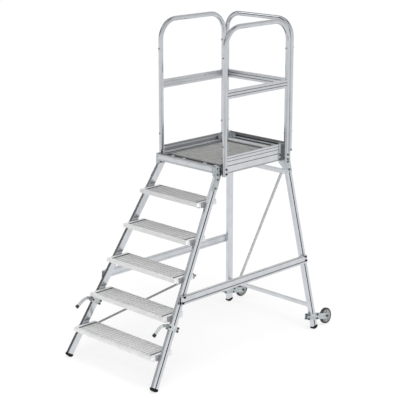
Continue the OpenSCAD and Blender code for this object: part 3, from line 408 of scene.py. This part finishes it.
for name, o in nodes.items():
    o.data.materials.clear()
    o.data.materials.append(looks[wear[name]])
print("materials on", len(wear), "nodes")


def addMesh(name, verts, faces, look, body, smooth=True):
    me = bpy.data.meshes.new(name)
    me.from_pydata([tuple(v) for v in verts], [], faces)
    me.validate()
    me.update()
    if smooth:
        me.shade_smooth()
    me.materials.append(looks[look])
    o = bpy.data.objects.new(name, me)
    scene.collection.objects.link(o)
    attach(o, body)
    return o


# faces between two rings of n points
def lace(faces, a, b, n):
    faces += [(a + i, a + (i + 1) % n, b + (i + 1) % n, b + i) for i in range(n)]


# a closed shape from rings that follow one another
def closeRings(faces, base, rings, n):
    for r in range(rings - 1):
        lace(faces, base + r * n, base + (r + 1) * n, n)
    faces.append(tuple(base + i for i in reversed(range(n))))
    faces.append(tuple(base + (rings - 1) * n + i for i in range(n)))


# a weld bead swept round a closed line, its thickness rippling along the run
bead = {"ripple": 0.0045, "sides": 7, "full": 1.15, "thin": 0.85}


def weldLoops(name, loops, thick):
    verts, faces = [], []
    sides = bead["sides"]
    for line in loops:
        pts = []
        for a, b in zip(line, line[1:] + line[:1]):
            n = max(1, int((b - a).length / bead["ripple"]))
            pts += [a.lerp(b, i / n) for i in range(n)]
        base, count = len(verts), len(pts)
        mid = sum(pts, Vector()) / count
        for i, q in enumerate(pts):
            along = (pts[(i + 1) % count] - pts[i - 1]).normalized()
            out = q - mid
            out = (out - along * out.dot(along)).normalized()
            up = along.cross(out)
            r = thick * (bead["full"] if i % 2 else bead["thin"])
            for k in range(sides):
                t = 2 * pi * k / sides
                verts.append(q + (out * cos(t) + up * sin(t)) * r)
        for i in range(count):
            lace(faces, base + i * sides, base + (i + 1) % count * sides, sides)
    addMesh(name, verts, faces, "weld", "frame")


# knee rails welded into the tubes of the hoops
knee = {"x": 0.32387, "front": -0.11665, "back": 0.54824, "rear": 0.58434, "low": 1.916, "tall": 0.060,
        "half": 0.0125, "tube": 0.018, "steps": 6, "lift": 0.0004, "thick": 0.0018}


def kneeOutline(place):
    line = []
    h = knee["half"]
    for i in range(knee["steps"] + 1):
        line.append(place(-h + 2 * h * i / knee["steps"], knee["low"] + knee["tall"]))
    for i in range(knee["steps"] + 1):
        line.append(place(h - 2 * h * i / knee["steps"], knee["low"]))
    return line


def tubeReach(d):
    return (knee["tube"] ** 2 - d * d) ** 0.5 + knee["lift"]


loops = []
for s in (-1, 1):
    loops.append(kneeOutline(lambda d, z: Vector((s * knee["x"] + d, knee["front"] + tubeReach(d), z))))
    loops.append(kneeOutline(lambda d, z: Vector((s * knee["x"] + d, knee["back"] - tubeReach(d), z))))
    loops.append(kneeOutline(lambda d, z: Vector((s * (knee["x"] - tubeReach(d)), knee["rear"] + d, z))))
weldLoops("knee_rail_welds", loops, knee["thick"])

# rear cross bars welded to the inner faces of the legs; a level is (underside, height)
crossBars = {"levels": ((0.178, 0.026), (1.244, 0.032)), "width": 0.025, "foot": 0.457, "half": 0.0125,
             "back": 0.7695, "lift": 0.0006, "thick": 0.0022}
loops = []
for z0, tall in crossBars["levels"]:
    mid = crossBars["back"] - (z0 + tall / 2) * tan(legRake)
    for s in (-1, 1):
        ring = []
        for dy, z in ((-1, z0), (1, z0), (1, z0 + tall), (-1, z0 + tall)):
            x = crossBars["foot"] - crossBars["half"] / cos(splay) - z * tan(splay)
            ring.append(Vector((s * (x - crossBars["lift"]), mid + dy * crossBars["width"] / 2, z)))
        loops.append(ring)
weldLoops("rear_bar_welds", loops, crossBars["thick"])
print("welds laid")

# end caps pressed on open profiles: a rounded plate with a shallow dish
caps = {"lip": 0.0006, "dish": 0.4, "sink": 0.0005, "steps": 4, "tightest": 0.0004}


def capPlate(verts, faces, mid, across, up, out, cap):
    half, thick = cap["half"], cap["thick"]
    dish = caps["dish"] * min(half)
    rings = ((0.0, 0.0), (thick - caps["lip"], 0.0), (thick, caps["lip"]), (thick, dish),
             (thick - caps["sink"], dish + caps["sink"]))  # height, inset
    base, count = len(verts), 4 * (caps["steps"] + 1)
    for high, inset in rings:
        bend = max(cap["corner"] - inset, caps["tightest"])
        for quarter, (sx, sy) in enumerate(((1, 1), (-1, 1), (-1, -1), (1, -1))):
            for i in range(caps["steps"] + 1):
                t = pi / 2 * (quarter + i / caps["steps"])
                x = sx * (half[0] - inset - bend) + bend * cos(t)
                y = sy * (half[1] - inset - bend) + bend * sin(t)
                verts.append(mid + across * x + up * y + out * high)
    closeRings(faces, base, len(rings), count)


noseCap = {"half": (0.0115, 0.0126), "corner": 0.0064, "thick": 0.0010, "deep": 0.012, "drop": 0.013,
           "box": 0.036}
verts, faces = [], []
for k in range(1, len(treads["frame"]) + 1):
    box = [Vector(c) for c in nodes["tread_%d_frame" % k].bound_box]
    top, wide = max(c.z for c in box), max(c.x for c in box)
    reach = wide - (noseCap["box"] - noseCap["drop"]) * tan(splay)
    for s in (-1, 1):
        mid = Vector((s * reach, min(c.y for c in box) + noseCap["deep"], top - noseCap["drop"]))
        capPlate(verts, faces, mid, yDir * s, sideUp[s], sideOut[s], noseCap)
addMesh("tread_nose_caps", verts, faces, "cap", "frame", smooth=False)

beamCap = {"half": (0.0122, 0.0362), "corner": 0.002, "thick": 0.0025,
           "x": 0.28937, "y": -0.19075, "z": 1.403}
verts, faces = [], []
for s in (-1, 1):
    mid = Vector((s * beamCap["x"], beamCap["y"], beamCap["z"]))
    capPlate(verts, faces, mid, xDir, zDir, -yDir, beamCap)
addMesh("beam_end_caps", verts, faces, "zinc", "frame", smooth=False)
print("end caps pressed on")

# hex bolt heads at the top of the front gussets, their rims broken; a ring is (half width, height)
hexHead = {"x": 0.3055, "y": -0.171, "z": 1.423, "sides": 6,
           "rings": ((0.0064, 0.0), (0.0064, 0.0034), (0.0050, 0.0046))}
verts, faces = [], []
for s in (-1, 1):
    base, count = len(verts), hexHead["sides"]
    for wide, high in hexHead["rings"]:
        for i in range(count):
            t = 2 * pi * i / count * s
            verts.append(Vector((s * (hexHead["x"] + high), hexHead["y"] + wide * cos(t),
                                 hexHead["z"] + wide * sin(t))))
    closeRings(faces, base, len(hexHead["rings"]), count)
addMesh("gusset_top_bolts", verts, faces, "darkBolt", "frame", smooth=False)
print("gusset bolts set")

# ribs moulded in the dished faces of the hubs, lower towards the rim
ribs = {"count": 6, "phase": 0.25, "inner": 0.0155, "outer": 0.0400, "root": 0.0068, "crest": 0.0108,
        "sag": 0.0012, "halfRoot": 0.0021, "halfCrest": 0.0013, "soft": 0.0005, "softSteps": 2}
axle = {"x": 0.448648, "y": 0.912157, "z": 0.068023}
for s, body in ((-1, "left_wheel"), (1, "right_wheel")):
    verts, faces = [], []
    middle = Vector((s * axle["x"], axle["y"], axle["z"]))
    for face in (-1, 1):
        for i in range(ribs["count"]):
            t = 2 * pi * (i + ribs["phase"]) / ribs["count"]
            out = sideUp[s] * cos(t) + yDir * sin(t)
            side = sideOut[s].cross(out)
            a = [len(verts) + k for k in range(8)]
            for r, crest in ((ribs["inner"], ribs["crest"]), (ribs["outer"], ribs["crest"] - ribs["sag"])):
                for high, half in ((ribs["root"], ribs["halfRoot"]), (crest, ribs["halfCrest"])):
                    for w in (-1, 1):
                        verts.append(middle + out * r + side * w * half + sideOut[s] * face * high)
            faces += [(a[0], a[1], a[3], a[2]), (a[4], a[6], a[7], a[5]), (a[0], a[2], a[6], a[4]),
                      (a[1], a[5], a[7], a[3]), (a[2], a[3], a[7], a[6]), (a[0], a[4], a[5], a[1])]
    o = addMesh(body + "_hub_ribs", verts, faces, "hub", body, smooth=False)
    soften = o.modifiers.new("round", "BEVEL")
    soften.width = ribs["soft"]
    soften.segments = ribs["softSteps"]
print("hub ribs added")


# 1 at a point of the floor, falling evenly to 0 at a distance of 1 / scale
def around(nt, co, middle, scale):
    mp = put(nt, "ShaderNodeMapping", Location=(-middle[0] * scale, -middle[1] * scale, 0),
             Scale=(scale, scale, scale))
    fall = put(nt, "ShaderNodeTexGradient", gradient_type="SPHERICAL")
    nt.links.new(co.outputs["Object"], mp.inputs["Vector"])
    nt.links.new(mp.outputs["Vector"], fall.inputs["Vector"])
    return fall.outputs["Fac"]


# floor, pale and almost shadowless as in a product shot
ground = {"size": 30.0, "cells": 8, "tone": 0.9, "rough": 0.9, "glow": 0.62}
bm = bmesh.new()
bmesh.ops.create_grid(bm, x_segments=ground["cells"], y_segments=ground["cells"], size=ground["size"])
me = bpy.data.meshes.new("floor")
bm.to_mesh(me)
bm.free()
floor = bpy.data.objects.new("floor", me)
scene.collection.objects.link(floor)
m, nt, bsdf = newMaterial("floor_white")
bsdf.inputs["Base Color"].default_value = (ground["tone"], ground["tone"], ground["tone"], 1)
bsdf.inputs["Roughness"].default_value = ground["rough"]
bsdf.inputs["Emission Color"].default_value = (1, 1, 1, 1)
bsdf.inputs["Emission Strength"].default_value = ground["glow"]
co = put(nt, "ShaderNodeTexCoord")
path = put(nt, "ShaderNodeLightPath")

# mirrored in the metal it is a little dimmer on the camera side
mirrored = {"middle": (5.0, -5.0), "scale": 0.17, "tones": [(0.0, 1.0), (0.75, 0.68)]}
dim = ramp(nt, around(nt, co, mirrored["middle"], mirrored["scale"]), mirrored["tones"])
glow = put(nt, "ShaderNodeEmission", Strength=1.0)
nt.links.new(dim.outputs["Color"], glow.inputs["Color"])
toMetal = pickShader(nt, path.outputs["Is Glossy Ray"], bsdf.outputs["BSDF"], glow.outputs["Emission"])

# the camera sees it just white, with the soft shadow left in
lit = {"middle": (1.6, -0.6), "scale": 0.0625, "base": 0.16, "rough": 0.9,
       "tones": [(0.06, 0.905), (0.39, 0.893), (0.65, 0.863), (0.81, 0.826), (0.94, 0.783)]}
even = ramp(nt, around(nt, co, lit["middle"], lit["scale"]), lit["tones"])
seen = put(nt, "ShaderNodeBsdfPrincipled", Roughness=lit["rough"])
seen.inputs["Base Color"].default_value = (lit["base"], lit["base"], lit["base"], 1)
seen.inputs["Specular IOR Level"].default_value = 0.0
seen.inputs["Emission Strength"].default_value = 1.0
nt.links.new(even.outputs["Color"], seen.inputs["Emission Color"])
toCamera = pickShader(nt, path.outputs["Is Camera Ray"], toMetal, seen.outputs["BSDF"])
nt.links.new(toCamera, nt.nodes["Material Output"].inputs["Surface"])
me.materials.append(m)

# studio surround: pale all round, four dark flags and a bright panel; the camera sees plain white
studio = {"sky": [(0.0, 0.95), (0.25, 0.92), (0.6, 0.72), (1.0, 0.65)],
          "flags": (((-0.55, -0.73, 0.40), [(0.935, 1.0), (0.985, 0.0)]),
                    ((-0.70, -0.36, 0.61), [(0.965, 1.0), (0.99, 3.2)]),
                    ((-0.91, 0.08, 0.40), [(0.88, 1.0), (0.945, 0.0)]),
                    ((0.29, 0.20, 0.93), [(0.95, 1.0), (0.985, 0.1)]),
                    ((-0.29, 0.92, 0.26), [(0.95, 1.0), (0.985, 0.3)]))}
world = bpy.data.worlds.new("studio")
scene.world = world
world.use_nodes = True
nt = world.node_tree
nt.nodes.clear()
outNode = put(nt, "ShaderNodeOutputWorld")
co = put(nt, "ShaderNodeTexCoord")
split = splitXyz(nt, co.outputs["Generated"])
tone = ramp(nt, split.outputs["Z"], studio["sky"]).outputs["Color"]
for toward, stops in studio["flags"]:
    aim = put(nt, "ShaderNodeVectorMath", operation="DOT_PRODUCT")
    aim.inputs[1].default_value = Vector(toward).normalized()
    nt.links.new(co.outputs["Generated"], aim.inputs[0])
    tone = shaded(nt, tone, ramp(nt, aim.outputs["Value"], stops))
soft = put(nt, "ShaderNodeBackground", Strength=1.0)
nt.links.new(tone, soft.inputs["Color"])
white = put(nt, "ShaderNodeBackground", Color=(1, 1, 1, 1), Strength=1.0)
path = put(nt, "ShaderNodeLightPath")
surround = pickShader(nt, path.outputs["Is Camera Ray"], soft.outputs["Background"],
                      white.outputs["Background"])
nt.links.new(surround, outNode.inputs["Surface"])

# one large soft light overhead, kept out of the reflections
softbox = {"place": Vector((1.6, -0.6, 5.6)), "target": Vector((0, 0, 1.0)), "size": 3.0, "power": 300}
light = bpy.data.lights.new("top_soft", "AREA")
light.shape = "RECTANGLE"
light.size, light.size_y = softbox["size"], softbox["size"]
light.energy = softbox["power"]
lamp = bpy.data.objects.new("top_soft", light)
lamp.location = softbox["place"]
lamp.rotation_euler = (softbox["target"] - softbox["place"]).to_track_quat("-Z", "Y").to_euler()
lamp.visible_glossy = False
scene.collection.objects.link(lamp)

# camera solved from the photograph's straight lines
shot = {"place": (6.3147, -6.4191, 3.5631), "down": 15.29, "turn": 44.7, "lens": 113.39, "sensor": 36.0,
        "far": 60.0}
cam = bpy.data.cameras.new("photo_view")
cam.sensor_width = shot["sensor"]
cam.lens = shot["lens"]
cam.clip_end = shot["far"]
camera = bpy.data.objects.new("photo_view", cam)
camera.location = shot["place"]
camera.rotation_euler = (radians(90 - shot["down"]), 0, radians(shot["turn"]))
scene.collection.objects.link(camera)
scene.camera = camera
print("stage and camera set")
